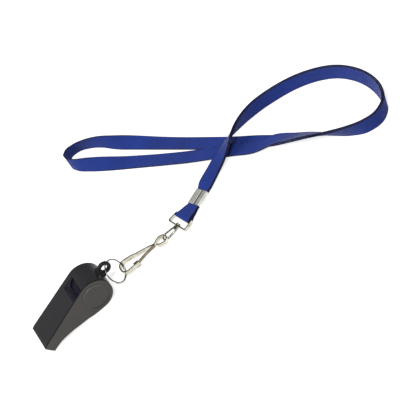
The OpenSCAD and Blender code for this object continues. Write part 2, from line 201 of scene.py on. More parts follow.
# Route of the doubled strap from the crimp, in mm and degrees: across, along, lift and lean
double_route = (
    (8.5, 4, 0.8, -96), (18, 9, 1.7, -91), (25, 11.6, 2.7, -85), (31, 13.4, 3.3, -70),
    (36, 16.2, 3.2, -56), (42, 19.7, 2.4, -39), (50, 23.5, 0.8, -20), (62, 25.5, 0.2, 0),
    (77, 23.5, 0, 8), (91, 19, 0, 8), (103, 12, 0, 9), (113, 2.5, 0, 14), (120, -10, 0, 21),
    (123.5, -24, 0, 26), (123, -37, 0, 24), (119.5, -47, 0, 9), (112, -51.5, 0, -4),
    (102, -50, 0, -7), (93, -44, 0, 9), (84, -35, 0, 30), (74, -23, 0, 52),
    (66.5, -15, 0, 64), (59, -6.5, 0, 78))

# Route of the single strap round the far loop and back, in the same terms
single_route = (
    (49, 6, 0, 90), (37, 20, 0, 90), (26, 34, 0, 90), (14, 49.5, 0, 90), (2, 65, 0, 96),
    (-10.5, 80.5, 0, 115), (-19, 90, 0, 143), (-26.5, 99.5, 0, 165), (-34, 106.5, 0, 179),
    (-41, 110.5, 0, 188), (-47, 111, 0, 187), (-50.5, 108, 0, 184), (-50.5, 103, 0, 188),
    (-47.5, 97, 0, 200), (-41.5, 90.5, 0, 217), (-34, 83, 0, 238), (-26, 75, 0, 256),
    (-13, 61.5, 0, 267), (0, 47, 0.6, 271), (12, 34, 1.1, 271), (24, 22.5, 1.2, 271),
    (36, 11.5, 1.2, 271), (45, 2.5, 1.2, 271))
far_turn = 11


def linear(code):
    """Turn a hex colour as a screen shows it into Blender's linear colour."""
    parts = [int(code[i:i + 2], 16) / 255 for i in (1, 3, 5)]
    return [c / 12.92 if c <= 0.04045 else ((c + 0.055) / 1.055) ** 2.4 for c in parts] + [1]


class StrapSettings(bpy.types.PropertyGroup):
    """Sizes and colours of the neck strap"""

    weft_pitch: FloatProperty(
        name="Rib spacing", description="Distance between the cross ribs of the weave",
        default=0.0011, unit="LENGTH", precision=5)
    warp_pitch: FloatProperty(
        name="Yarn spacing", description="Distance between the lengthwise yarns",
        default=0.0008, unit="LENGTH", precision=5)
    selvedge: FloatProperty(
        name="Selvedge width", description="Width of the dark edge on each side",
        default=0.0006, unit="LENGTH", precision=5)
    face_colour: FloatVectorProperty(
        name="Face", description="Colour of the yarn on the face", subtype="COLOR",
        default=linear("#183283")[:3], min=0, max=1)
    sheen: FloatProperty(
        name="Sheen", description="How much the polyester yarn shines at a grazing angle",
        default=0.2, subtype="FACTOR", min=0, max=1)


class ShellSettings(bpy.types.PropertyGroup):
    """Finish of the moulded whistle"""

    edge_round: FloatProperty(
        name="Edge rounding", description="Radius that the mould leaves on the edges",
        default=0.0001, unit="LENGTH", precision=5)
    rim_round: FloatProperty(
        name="Rim rounding", description="Radius along the cover's rim and its raised disc",
        default=0.0003, unit="LENGTH", precision=5)
    grain: FloatProperty(
        name="Grain", description="Size of the fine mould texture",
        default=0.0005, unit="LENGTH", precision=5)
    roughness: FloatProperty(
        name="Roughness", description="Roughness of the satin plastic",
        default=0.34, subtype="FACTOR", min=0, max=1)


class MetalSettings(bpy.types.PropertyGroup):
    """Sizes and finish of the plated wire and strip"""

    edge_round: FloatProperty(
        name="Edge rounding", description="Radius on the edges of the pressed strip",
        default=0.0001, unit="LENGTH", precision=5)
    ring_wire: FloatProperty(
        name="Ring wire", description="Thickness of the split ring's wire",
        default=0.0008, unit="LENGTH", precision=5)
    ring_step: FloatProperty(
        name="Ring pitch", description="Distance between the ring's two turns",
        default=0.00074, unit="LENGTH", precision=5)
    link_wire: FloatProperty(
        name="Link wire", description="Thickness of the swivel link's wire",
        default=0.0012, unit="LENGTH", precision=5)
    sides: IntProperty(
        name="Wire sides", description="Number of faces round a wire", default=20, min=8, max=48)


class StageSettings(bpy.types.PropertyGroup):
    """Light and floor of the photo table"""

    key_power: FloatProperty(
        name="Front lamp", description="Power of the lamp above and in front",
        default=12.0, unit="POWER")
    fill_power: FloatProperty(
        name="Left lamp", description="Power of the lamp behind on the left",
        default=10.0, unit="POWER")
    sky: FloatProperty(
        name="Room light", description="Strength of the even light from all round",
        default=0.3, min=0, max=2)
    paper: FloatProperty(
        name="Paper white", description="How far the table paper is lifted to plain white",
        default=0.75, min=0, max=2)


def add(tree, kind, inputs=None, **settings):
    """Add a node, set its properties, and fill or link its inputs."""
    node = tree.nodes.new(kind)
    for name, value in settings.items():
        setattr(node, name, value)
    for key, value in (inputs or {}).items():
        if isinstance(value, bpy.types.NodeSocket):
            tree.links.new(value, node.inputs[key])
        else:
            node.inputs[key].default_value = value
    return node


def new_material(name):
    """Start a material and give its node tree, its surface shader and the object's places."""
    material = bpy.data.materials.new(name)
    material.use_nodes = True
    tree = material.node_tree
    place = add(tree, "ShaderNodeTexCoord").outputs["Object"]
    return material, tree, tree.nodes["Principled BSDF"], place


def show(mesh, name):
    """Put a finished mesh in the scene as an object at the origin."""
    piece = bpy.data.objects.new(name, mesh)
    bpy.context.scene.collection.objects.link(piece)
    return piece


def settle(piece, body, nodes, material):
    """Give a piece its material, its body and the nodes that it stands for."""
    piece.data.materials.clear()
    piece.data.materials.append(material)
    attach(piece, body)
    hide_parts(*nodes)


def thin_band(tree, value, middle, inner, outer):
    """Give a mask that is 1 where a value lies near a middle one, and fades outwards."""
    away = add(tree, "ShaderNodeMath", {0: value, 1: middle}, operation="SUBTRACT")
    size = add(tree, "ShaderNodeMath", {0: away.outputs[0]}, operation="ABSOLUTE")
    return add(tree, "ShaderNodeMapRange", {
        "Value": size.outputs[0], "From Min": inner, "From Max": outer,
        "To Min": 1, "To Max": 0}).outputs["Result"]


def from_barrel(tree, place):
    """Give the X, Y and Z of a place from the barrel's axis."""
    away = add(tree, "ShaderNodeVectorMath", {
        0: place, 1: tuple(barrel_axis)}, operation="SUBTRACT")
    return add(tree, "ShaderNodeSeparateXYZ", {0: away.outputs[0]}).outputs


def moulded_plastic(name, code, painted_light_code, settings, line_angle=None, disc_shadow=False):
    """Satin ABS from a spark-eroded mould: an even dark skin with a soft, broken highlight.
    Along the seam, at the cover's rim and the body's edge, it is rougher and painted darker as
    shade in the seam, and the eyelet is darker too. The second colour is painted light: paler
    inside the hollow, and a painted highlight on the disc's edge. It may also take a painted
    shadow below the disc.
    """
    material, tree, shader, place = new_material(name)
    broad = add(tree, "ShaderNodeTexNoise", {
        "Vector": place, "Scale": 1 / plastic_patch, "Detail": 3})
    grain = add(tree, "ShaderNodeTexNoise", {
        "Vector": place, "Scale": 1 / settings.grain, "Detail": 2}).outputs["Fac"]
    dark = linear(code)
    light = [min(1, c * patch_gain) for c in dark[:3]] + [1]
    tone = add(tree, "ShaderNodeMix", {
        "Factor": broad.outputs["Fac"], "A": dark, "B": light}, data_type="RGBA")
    # The dark edge is painted shade along the seam between cover and body; the eyelet takes some
    dark_edge = add(tree, "ShaderNodeAttribute", attribute_name="edge_face").outputs["Fac"]
    second = add(tree, "ShaderNodeAttribute", attribute_name="painted_light_face").outputs["Fac"]
    layers = [(dark_edge, dark_edge_colour), (second, painted_light_code)]
    height = grain
    # A painted shadow along the disc's lower foot
    if disc_shadow:
        layers.append((disc_painted_shadow(tree, place), dark_edge_colour))
    if line_angle is not None:
        line = parting_line(tree, place, line_angle)
        layers.append((line, "#0c0c0e"))
        height = add(tree, "ShaderNodeMath", {0: grain, 1: line}, operation="SUBTRACT").outputs[0]
    colour = tone.outputs["Result"]
    for mask, layer_code in layers:
        colour = add(tree, "ShaderNodeMix", {
            "Factor": mask, "A": colour, "B": linear(layer_code)},
            data_type="RGBA").outputs["Result"]
    rough = add(tree, "ShaderNodeMapRange", {
        "Value": grain, "To Min": settings.roughness - 0.06,
        "To Max": settings.roughness + 0.08})
    rougher = add(tree, "ShaderNodeMath", {
        0: dark_edge, 1: dark_edge_roughness, 2: rough.outputs["Result"]}, operation="MULTIPLY_ADD")
    bump = add(tree, "ShaderNodeBump", {"Height": height, "Strength": 0.16, "Distance": 0.0001})
    tree.links.new(colour, shader.inputs["Base Color"])
    tree.links.new(rougher.outputs[0], shader.inputs["Roughness"])
    tree.links.new(bump.outputs["Normal"], shader.inputs["Normal"])
    # Solid ABS has an IOR of about 1.5, but the eroded skin reflects less
    shader.inputs["IOR"].default_value = 1.33
    return material


def parting_line(tree, place, degrees):
    """Give a thin mask across the back of the barrel, where the two mould halves met."""
    parts = from_barrel(tree, place)
    turn = add(tree, "ShaderNodeMath", {0: parts["X"], 1: parts["Z"]}, operation="ARCTAN2")
    half = line_half / barrel_r
    return thin_band(tree, turn.outputs[0], math.radians(degrees), half / 2, half)


def disc_painted_shadow(tree, place):
    """Give a thin mask along the lower foot of the raised disc, for a painted shadow below it."""
    parts = from_barrel(tree, place)
    flat = add(tree, "ShaderNodeCombineXYZ", {"X": parts["X"], "Z": parts["Z"]})
    reach = add(tree, "ShaderNodeVectorMath", {0: flat.outputs[0]}, operation="LENGTH")
    foot = thin_band(tree, reach.outputs["Value"], foot_r, foot_inner, foot_outer)
    slope = add(tree, "ShaderNodeMath", {
        0: parts["Z"], 1: reach.outputs["Value"]}, operation="DIVIDE")
    below = add(tree, "ShaderNodeMapRange", {
        "Value": slope.outputs[0], "From Min": foot_start, "From Max": foot_full})
    return add(tree, "ShaderNodeMath", {
        0: foot, 1: below.outputs["Result"]}, operation="MULTIPLY").outputs[0]


def pressed_cork():
    """Stained pressed cork: a matt dark ball with a slightly pitted skin."""
    material, tree, shader, place = new_material("Dark pressed cork")
    grains = add(tree, "ShaderNodeTexVoronoi", {
        "Vector": place, "Scale": 1 / cork_grain}).outputs["Distance"]
    tone = add(tree, "ShaderNodeMix", {
        "Factor": grains, "A": linear("#1d1917"), "B": linear("#352c25")}, data_type="RGBA")
    bump = add(tree, "ShaderNodeBump", {"Height": grains, "Strength": 0.5, "Distance": 0.0002})
    tree.links.new(tone.outputs["Result"], shader.inputs["Base Color"])
    tree.links.new(bump.outputs["Normal"], shader.inputs["Normal"])
    shader.inputs["Roughness"].default_value = 0.85
    return material


def plated_metal(name, bright, dull, roughness, stretch, groove=False):
    """Nickel plate over drawn or rolled steel: bright, faintly warm, with fine drawn lines.
    The sheared edges of a strip are duller and browner than its rolled faces."""
    material, tree, shader, place = new_material(name)
    patch = add(tree, "ShaderNodeTexNoise", {
        "Vector": place, "Scale": 1 / plating_patch, "Detail": 4})
    drawn = add(tree, "ShaderNodeMapping", {"Vector": place, "Scale": stretch})
    lines = add(tree, "ShaderNodeTexNoise", {
        "Vector": drawn.outputs["Vector"], "Scale": 1 / drawn_line, "Detail": 2}).outputs["Fac"]
    spread = add(tree, "ShaderNodeMapRange", {
        "Value": patch.outputs["Fac"], "From Min": 0.3, "From Max": 0.7})
    tone = add(tree, "ShaderNodeMix", {
        "Factor": spread.outputs["Result"], "A": linear(dull), "B": linear(bright)},
        data_type="RGBA")
    sheared = add(tree, "ShaderNodeAttribute", attribute_name="edge_face").outputs["Fac"]
    layers = [(sheared, "#7a705a")]
    if groove:
        layers.append((crimp_groove(tree, place), "#4c463f"))
    colour = tone.outputs["Result"]
    for mask, layer_code in layers:
        colour = add(tree, "ShaderNodeMix", {
            "Factor": mask, "A": colour, "B": linear(layer_code)},
            data_type="RGBA").outputs["Result"]
    rough = add(tree, "ShaderNodeMapRange", {
        "Value": lines, "To Min": roughness - 0.06, "To Max": roughness + 0.1})
    bump = add(tree, "ShaderNodeBump", {"Height": lines, "Strength": 0.06, "Distance": 0.00005})
    tree.links.new(colour, shader.inputs["Base Color"])
    tree.links.new(rough.outputs["Result"], shader.inputs["Roughness"])
    tree.links.new(bump.outputs["Normal"], shader.inputs["Normal"])
    shader.inputs["Metallic"].default_value = 1
    return material


def crimp_groove(tree, place):
    """Give a thin mask along the middle of the crimp, where the sheet's two ends meet."""
    away = add(tree, "ShaderNodeVectorMath", {
        0: place, 1: tuple(crimp_middle)}, operation="SUBTRACT")
    across = add(tree, "ShaderNodeVectorMath", {
        0: away.outputs[0], 1: tuple(level_axes(crimp_yaw)[1])}, operation="DOT_PRODUCT")
    return thin_band(tree, across.outputs["Value"], seam_across, seam_inner, seam_outer)


def thread_wave(tree, value, pitch):
    """Give a wave that repeats at each thread."""
    turn = add(tree, "ShaderNodeMath", {
        0: value, 1: 2 * math.pi / pitch}, operation="MULTIPLY")
    return add(tree, "ShaderNodeMath", {0: turn.outputs[0]}, operation="SINE").outputs[0]


def woven_polyester(settings):
    """Ribbed polyester ribbon: royal blue yarn, cross ribs, a navy selvedge and a low sheen."""
    material, tree, shader, place = new_material("Woven polyester ribbon")
    sheet = add(tree, "ShaderNodeUVMap", uv_map="strap").outputs["UV"]
    parts = add(tree, "ShaderNodeSeparateXYZ", {0: sheet}).outputs
    # The real ribs are about half as far apart; they are drawn as coarse as a pixel can show
    ribs = thread_wave(tree, parts["Y"], settings.weft_pitch)
    yarns = thread_wave(tree, parts["X"], settings.warp_pitch)
    weave = add(tree, "ShaderNodeMath", {
        0: ribs, 1: yarn_share, 2: yarns}, operation="MULTIPLY_ADD").outputs[0]
    patch = add(tree, "ShaderNodeTexNoise", {
        "Vector": place, "Scale": 1 / cloth_patch, "Detail": 4})
    fuzz = add(tree, "ShaderNodeTexNoise", {
        "Vector": place, "Scale": 1 / cloth_fuzz, "Detail": 2}).outputs["Fac"]
    level = add(tree, "ShaderNodeMapRange", {
        "Value": patch.outputs["Fac"], "From Min": 0.3, "From Max": 0.7,
        "To Min": 0.86, "To Max": 1.12}).outputs["Result"]
    for pattern, tone in ((weave, weave_tone), (fuzz, fuzz_tone)):
        level = add(tree, "ShaderNodeMath", {
            0: pattern, 1: tone, 2: level}, operation="MULTIPLY_ADD").outputs[0]
    level = add(tree, "ShaderNodeMath", {0: level, 1: fuzz_tone / 2}, operation="SUBTRACT")
    dyed = add(tree, "ShaderNodeVectorMath", {
        0: settings.face_colour, 3: level.outputs[0]}, operation="SCALE")
    side = add(tree, "ShaderNodeMath", {0: parts["X"]}, operation="ABSOLUTE")
    edge = add(tree, "ShaderNodeMapRange", {
        "Value": side.outputs[0], "From Min": strap_width / 2 - settings.selvedge,
        "From Max": strap_width / 2 - settings.selvedge * selvedge_full})
    colour = add(tree, "ShaderNodeMix", {
        "Factor": edge.outputs["Result"], "A": dyed.outputs[0], "B": linear("#0c1240")},
        data_type="RGBA")
    bump = add(tree, "ShaderNodeBump", {"Height": weave, "Strength": 0.5, "Distance": 0.00012})
    tree.links.new(colour.outputs["Result"], shader.inputs["Base Color"])
    tree.links.new(bump.outputs["Normal"], shader.inputs["Normal"])
    shader.inputs["Roughness"].default_value = 0.78
    shader.inputs["Sheen Weight"].default_value = settings.sheen
    shader.inputs["Sheen Roughness"].default_value = 0.4
    shader.inputs["Specular IOR Level"].default_value = 0.25
    return material


def barrel_reach(face):
    """Give a face's middle, its place from the barrel's axis and how far out it lies."""
    spot = face.calc_center_median()
    place = spot - barrel_axis
    return spot, place, math.hypot(place.x, place.z)


def body_marks(face):
    """Mark the body's edge along the cover for painted seam shade, less strongly its eyelet, and
    its hollow for painted light.
    """
    spot, place, reach = barrel_reach(face)
    joint = -flat_side < face.normal.y < -joint_side and spot.y < joint_plane
    eyelet = place.x > 0 and reach > eyelet_from
    ahead = hollow_front < place.x < 0 and face.normal.z > hollow_down
    inside = face.normal.dot(place) < hollow_r and abs(spot.y) < hollow_half
    return max(joint, eyelet_share * eyelet), inside and (reach < hollow_r or ahead)


def cover_marks(face):
    """Mark the cover's rim for painted seam shade, and its disc's edge for a painted highlight."""
    spot, _, reach = barrel_reach(face)
    side = abs(face.normal.y)
    rim = side < rim_side and reach > rim_from
    return rim, disc_inside < reach < disc_outside and spot.y < disc_foot and side < flat_side


def strip_marks(face):
    """Mark the sheared edges of a strip."""
    return abs(face.normal.z) > sheared_up, False


def softened(node, name, radius, smooth_under, outer=0, marks=None):
    """Copy a node's mesh, join its loose triangles and round its sharp edges. The marks say
    where a face takes its material's edge colour and its painted light colour."""
    mesh = frame["nodes"][node].data.copy()
    mesh.name = name
    work = bmesh.new()
    work.from_mesh(mesh)
    edge_mark = work.faces.layers.float.new("edge_face")
    painted_light_mark = work.faces.layers.float.new("painted_light_face")
    bmesh.ops.remove_doubles(work, verts=work.verts, dist=merge_distance)
    bmesh.ops.dissolve_limit(
        work, angle_limit=math.radians(flat_angle), verts=work.verts, edges=work.edges)
    bmesh.ops.recalc_face_normals(work, faces=work.faces)
    if outer:
        wide = [edge for edge in work.edges
                if len(edge.link_faces) == 2 and edge.is_convex
                and edge.calc_face_angle(0) > math.radians(outer_angle)
                and max(face.calc_area() for face in edge.link_faces) > wide_area]
        bmesh.ops.bevel(
            work, geom=wide, offset=outer, segments=4, profile=0.5, affect="EDGES",
            clamp_overlap=True)
    sharp = [edge for edge in work.edges
             if len(edge.link_faces) == 2
             and edge.calc_face_angle(0) > math.radians(sharp_angle)]
    bmesh.ops.bevel(
        work, geom=sharp, offset=radius, segments=2, profile=0.6, affect="EDGES",
        clamp_overlap=True)
    bmesh.ops.triangulate(work, faces=[face for face in work.faces if len(face.verts) > 4])
    for face in work.faces:
        face.smooth = True
        if marks:
            face[edge_mark], face[painted_light_mark] = (float(mark) for mark in marks(face))
    for edge in work.edges:
        edge.smooth = edge.calc_face_angle(0) < math.radians(smooth_under)
    work.to_mesh(mesh)
    work.free()
    piece = show(mesh, name)
    even_normals(piece)
    return piece


def dressed(node, name, body, material, radius, smooth_under, **finish):
    """Put a softened copy of a node in its place, on its body."""
    piece = softened(node, name, radius, smooth_under, **finish)
    settle(piece, body, [node], material)
    return piece


def even_normals(piece):
    """Weight the normals by face area, so that flat faces stay flat beside round edges."""
    modifier = piece.modifiers.new("Even normals", "WEIGHTED_NORMAL")
    modifier.keep_sharp = True
    plain = evaluated_mesh(piece)
    piece.modifiers.remove(modifier)
    old = piece.data
    piece.data = plain
    bpy.data.meshes.remove(old)


def evaluated_mesh(piece):
    """Give a plain mesh of what an object's modifiers make."""
    graph = bpy.context.evaluated_depsgraph_get()
    return bpy.data.meshes.new_from_object(
        piece.evaluated_get(graph), preserve_all_data_layers=True, depsgraph=graph)


def start_tree(name, sockets):
    """Start a geometry tree with named inputs and one geometry output."""
    tree = bpy.data.node_groups.new(name, "GeometryNodeTree")
    tree.interface.new_socket("Geometry", in_out="INPUT", socket_type="NodeSocketGeometry")
    for label, kind in sockets:
        tree.interface.new_socket(label, in_out="INPUT", socket_type=kind)
    tree.interface.new_socket("Geometry", in_out="OUTPUT", socket_type="NodeSocketGeometry")
    return tree


def finish_tree(tree, geometry, material):
    """End a tree in smooth faces, real geometry and a material."""
    smooth = add(tree, "GeometryNodeSetShadeSmooth", {"Geometry": geometry})
    real = add(tree, "GeometryNodeRealizeInstances", {"Geometry": smooth.outputs[0]})
    painted = add(tree, "GeometryNodeSetMaterial", {
        "Geometry": real.outputs[0], "Material": material})
    add(tree, "NodeGroupOutput", {"Geometry": painted.outputs[0]})


def round_wire(tree, path, given):
    """Sweep a round section along a curve."""
    radius = add(tree, "ShaderNodeMath", {0: given["Wire thickness"], 1: 0.5}, operation="MULTIPLY")
    profile = add(tree, "GeometryNodeCurvePrimitiveCircle", {
        "Resolution": given["Sides"], "Radius": radius.outputs[0]})
    return add(tree, "GeometryNodeCurveToMesh", {
        "Curve": path, "Profile Curve": profile.outputs[0], "Fill Caps": True}).outputs[0]


def wire_tree():
    """A round wire that follows the edges of a mesh path."""
    tree = start_tree("Wire along a path", (
        ("Wire thickness", "NodeSocketFloat"), ("Sides", "NodeSocketInt"),
        ("Material", "NodeSocketMaterial")))
    given = add(tree, "NodeGroupInput").outputs
    path = add(tree, "GeometryNodeMeshToCurve", {"Mesh": given["Geometry"]})
    finish_tree(tree, round_wire(tree, path.outputs[0], given), given["Material"])
    return tree


def ring_tree():
    """A split ring: one wire that goes round, steps over its own start and stops."""
    tree = start_tree("Split ring", (
        ("Radius", "NodeSocketFloat"), ("Wire thickness", "NodeSocketFloat"),
        ("Step", "NodeSocketFloat"), ("Start angle", "NodeSocketFloat"),
        ("Sweep", "NodeSocketFloat"), ("Sides", "NodeSocketInt"),
        ("Material", "NodeSocketMaterial")))
    given = add(tree, "NodeGroupInput").outputs
    line = add(tree, "GeometryNodeCurvePrimitiveLine")
    points = add(tree, "GeometryNodeResampleCurve", {
        "Curve": line.outputs[0], "Count": ring_points})
    share = add(tree, "GeometryNodeSplineParameter").outputs["Factor"]
    angle = add(tree, "ShaderNodeMath", {
        0: share, 1: given["Sweep"], 2: given["Start angle"]}, operation="MULTIPLY_ADD")
    place = {}
    for axis, wave in (("X", "COSINE"), ("Y", "SINE")):
        turn = add(tree, "ShaderNodeMath", {0: angle.outputs[0]}, operation=wave)
        place[axis] = add(tree, "ShaderNodeMath", {
            0: turn.outputs[0], 1: given["Radius"]}, operation="MULTIPLY").outputs[0]
    lift = add(tree, "ShaderNodeMapRange", {
        "Value": share, "From Min": ring_step_from, "From Max": ring_step_to,
        "To Min": -0.5, "To Max": 0.5}, interpolation_type="SMOOTHSTEP")
    place["Z"] = add(tree, "ShaderNodeMath", {
        0: lift.outputs[0], 1: given["Step"]}, operation="MULTIPLY").outputs[0]
    spot = add(tree, "ShaderNodeCombineXYZ", place)
    wound = add(tree, "GeometryNodeSetPosition", {
        "Geometry": points.outputs[0], "Position": spot.outputs[0]})
    finish_tree(tree, round_wire(tree, wound.outputs[0], given), given["Material"])
    return tree


def turn_outwards(mesh, smooth_under):
    """Turn a mesh's faces outwards, and keep its edges sharp above an angle in degrees."""
    work = bmesh.new()
    work.from_mesh(mesh)
    bmesh.ops.recalc_face_normals(work, faces=work.faces)
    for edge in work.edges:
        edge.smooth = edge.calc_face_angle(0) < math.radians(smooth_under)
    work.to_mesh(mesh)
    work.free()


def grown(name, base, tree, values, matrix):
    """Run a geometry tree on a base mesh and give the result as a plain object in its place."""
    seed = show(base, name + "_base")
    modifier = seed.modifiers.new("Form", "NODES")
    modifier.node_group = tree
    for item in tree.interface.items_tree:
        if item.in_out == "INPUT" and item.name in values:
            modifier[item.identifier] = values[item.name]
    mesh = evaluated_mesh(seed)
    seed.modifiers.remove(modifier)
    bpy.data.objects.remove(seed)
    bpy.data.meshes.remove(base)
    mesh.transform(matrix)
    mesh.name = name
    turn_outwards(mesh, 40)
    return show(mesh, name)


def path_mesh(points, closed):
    """Make a mesh of a line of points, to be followed by a wire."""
    mesh = bpy.data.meshes.new("path")
    last = len(points) if closed else len(points) - 1
    mesh.from_pydata(points, [(i, (i + 1) % len(points)) for i in range(last)], [])
    return mesh


def link_path(height):
    """Lay out the link: a round end in the hook's eye and a narrower end in the stud."""
    points = [(link_r * math.cos(a), 0, link_r * math.sin(a))
              for a in (math.radians(d) for d in range(90, 271, link_round_step))]
    for side, first in ((-1, -90), (1, 0)):
        for step in range(link_corner_steps + 1):
            a = math.radians(first + step * 90 / link_corner_steps)
            points.append((
                link_length - link_corner + link_corner * math.cos(a), 0,
                bar_middle.z - height + side * (link_end - link_corner)
                + link_corner * math.sin(a)))
    return points


def level_axes(yaw):
    """Give the way and the left of a level heading."""
    return Vector((math.cos(yaw), math.sin(yaw), 0)), Vector((-math.sin(yaw), math.cos(yaw), 0))


def crimp_section(away, side):
    """Give the strap's middle, width way, face way and half width inside the crimp."""
    ahead, left = level_axes(crimp_yaw)
    middle = crimp_middle + ahead * away + Vector((0, 0, side * layer_space))
    return middle, -left, Vector((0, 0, side)), crimp_strap_width / 2


def fold_section(degrees):
    """Give the same where the strap turns round the frame's bar."""
    ahead, left = level_axes(swivel_yaw)
    turn = math.radians(degrees)
    face = ahead * math.cos(turn) + Vector((0, 0, math.sin(turn)))
    return bar_middle + face * fold_radius, -left, face, fold_width / 2


def mixed(a, b, share):
    """Give a section part of the way from one to another."""
    return (a[0].lerp(b[0], share), a[1].lerp(b[1], share).normalized(),
            a[2].lerp(b[2], share).normalized(), a[3] * (1 - share) + b[3] * share)


def route_section(route, index, layer, thickness):
    """Give a section on the table, from a row of a route."""
    before = route[max(index - 1, 0)]
    after = route[min(index + 1, len(route) - 1)]
    across, along, lift, lean = route[index]
    way = Vector((after[0] - before[0], after[1] - before[1], 0)).normalized()
    left = Vector((-way.y, way.x, 0))
    lean = math.radians(lean)
    up = Vector((0, 0, 1))
    width_way = left * math.sin(lean) + up * math.cos(lean)
    face_way = left * math.cos(lean) - up * math.sin(lean)
    height = (lift * MM + strap_width / 2 * abs(math.cos(lean))
              + thickness / 2 * abs(math.sin(lean)))
    middle = Vector((crimp_middle.x + across * MM, crimp_middle.y + along * MM, height))
    return middle + face_way * layer, width_way, face_way, strap_width / 2


def strap_halves():
    """Give the sections of the strap's two halves, which meet at the far turn."""
    mouth = crimp_half + mouth_gap
    low = crimp_section(-mouth, -1)
    high = crimp_section(-mouth, 1)
    out = [crimp_section(-mouth_gap, -1), low, mixed(low, fold_section(-90), fold_mix)]
    out += [fold_section(angle) for angle in (270, 225, 180, 135, 90)]
    out += [mixed(high, fold_section(90), fold_mix), high, crimp_section(mouth, 1)]
    count = len(double_route)
    out += [route_section(double_route, i, layer_space, stack_height) for i in range(count)]
    single = [route_section(single_route, i, 0, strap_thickness)
              for i in range(len(single_route))]
    out += single[:far_turn + 1]
    back = single[far_turn:]
    for i in range(count - 1, -1, -1):
        middle, width_way, face_way, half = route_section(
            double_route, i, -layer_space, stack_height)
        back.append((middle, width_way, -face_way, half))
    back += [crimp_section(mouth, -1), crimp_section(mouth_gap, -1)]
    return out, back


def smooth_sections(sections, spacing):
    """Lay more sections between the given ones, on one curve without overshoot."""
    def slope(values, i):
        if i == 0:
            return (values[1] - values[0]) / gaps[0]
        if i == len(values) - 1:
            return (values[-1] - values[-2]) / gaps[-1]
        before = (values[i] - values[i - 1]) / gaps[i - 1]
        after = (values[i + 1] - values[i]) / gaps[i]
        return (before * gaps[i] + after * gaps[i - 1]) / (gaps[i - 1] + gaps[i])

    def between(values, slopes, i):
        return (values[i] * a + slopes[i] * b * gaps[i]
                + values[i + 1] * c + slopes[i + 1] * d * gaps[i])

    middles = [section[0] for section in sections]
    widths = [section[1] for section in sections]
    gaps = [(after - before).length for before, after in zip(middles, middles[1:])]
    middle_slopes = [slope(middles, i) for i in range(len(middles))]
    width_slopes = [slope(widths, i) for i in range(len(widths))]
    result = []
    for i, gap in enumerate(gaps):
        steps = max(2, math.ceil(gap / spacing))
        for k in range(steps + (1 if i == len(gaps) - 1 else 0)):
            t = k / steps
            a = 2 * t ** 3 - 3 * t ** 2 + 1
            b = t ** 3 - 2 * t ** 2 + t
            c = 3 * t ** 2 - 2 * t ** 3
            d = t ** 3 - t ** 2
            face_way = sections[i][2].lerp(sections[i + 1][2], t)
            half = sections[i][3] * a + sections[i + 1][3] * c
            result.append((
                between(middles, middle_slopes, i),
                between(widths, width_slopes, i).normalized(), face_way, half))
    return result


# Half outline of the ribbon's cross section: share of the half width, share of the thickness
ribbon_outline = (
    (1.0, 0.0), (0.992, 0.30), (0.955, 0.44), (0.91, 0.42), (0.87, 0.33), (0.6, 0.37),
    (0.3, 0.40), (0.0, 0.41), (-0.3, 0.40), (-0.6, 0.37), (-0.87, 0.33), (-0.91, 0.42),
    (-0.955, 0.44), (-0.992, 0.30))


def ribbon(name, sections):
    """Sweep the woven ribbon's cross section and map it in metres across and along."""
    outline = list(ribbon_outline) + [(-1.0, 0.0)] + [
        (x, -y) for x, y in reversed(ribbon_outline[1:])]
    count = len(outline)
    points = []
    run = [0.0]
    for i, (middle, width_way, face_way, half) in enumerate(sections):
        before = sections[max(i - 1, 0)][0]
        after = sections[min(i + 1, len(sections) - 1)][0]
        way = (after - before).normalized()
        across = (width_way - way * width_way.dot(way)).normalized()
        face = way.cross(across)
        if face.dot(face_way) < 0:
            face = -face
        points += [middle + across * half * x + face * strap_thickness * y for x, y in outline]
        if i:
            run.append(run[-1] + (middle - sections[i - 1][0]).length)
    faces = []
    spots = []
    for i in range(len(sections) - 1):
        for k in range(count):
            j = (k + 1) % count
            faces.append((i * count + k, i * count + j, (i + 1) * count + j, (i + 1) * count + k))
            a = outline[k][0] * strap_width / 2
            b = outline[j][0] * strap_width / 2
            spots += [(a, run[i]), (b, run[i]), (b, run[i + 1]), (a, run[i + 1])]
    for start, at in ((0, run[0]), ((len(sections) - 1) * count, run[-1])):
        faces.append(tuple(start + k for k in range(count)))
        spots += [(outline[k][0] * strap_width / 2, at) for k in range(count)]
    mesh = bpy.data.meshes.new(name)
    mesh.from_pydata([tuple(p) for p in points], [], faces)
    layer = mesh.uv_layers.new(name="strap")
    for spot, value in zip(layer.data, spots):
        spot.uv = value
    mesh.shade_smooth()
    turn_outwards(mesh, 60)
    return show(mesh, name)


class WHISTLE_OT_camera(bpy.types.Operator):
    """Set the camera where the photograph was taken from"""

    bl_idname = "whistle.set_camera"
    bl_label = "Camera"

    def execute(self, context):
        data = bpy.data.cameras.new("Photo camera")
        data.lens = camera_lens
        data.clip_start = 0.05
        data.clip_end = 20
        eye = bpy.data.objects.new("Photo camera", data)
        context.scene.collection.objects.link(eye)
        back = Vector(camera_back).normalized()
        up = back.cross(Vector(camera_right).normalized()).normalized()
        turn = Matrix((up.cross(back), up, back)).transposed().to_4x4()
        across, away, height = camera_place
        place = Vector((barrel_axis.x + across, away, height))
        eye.matrix_world = Matrix.Translation(place) @ turn
        context.scene.camera = eye
        context.scene.view_settings.view_transform = "Standard"
        return {"FINISHED"}


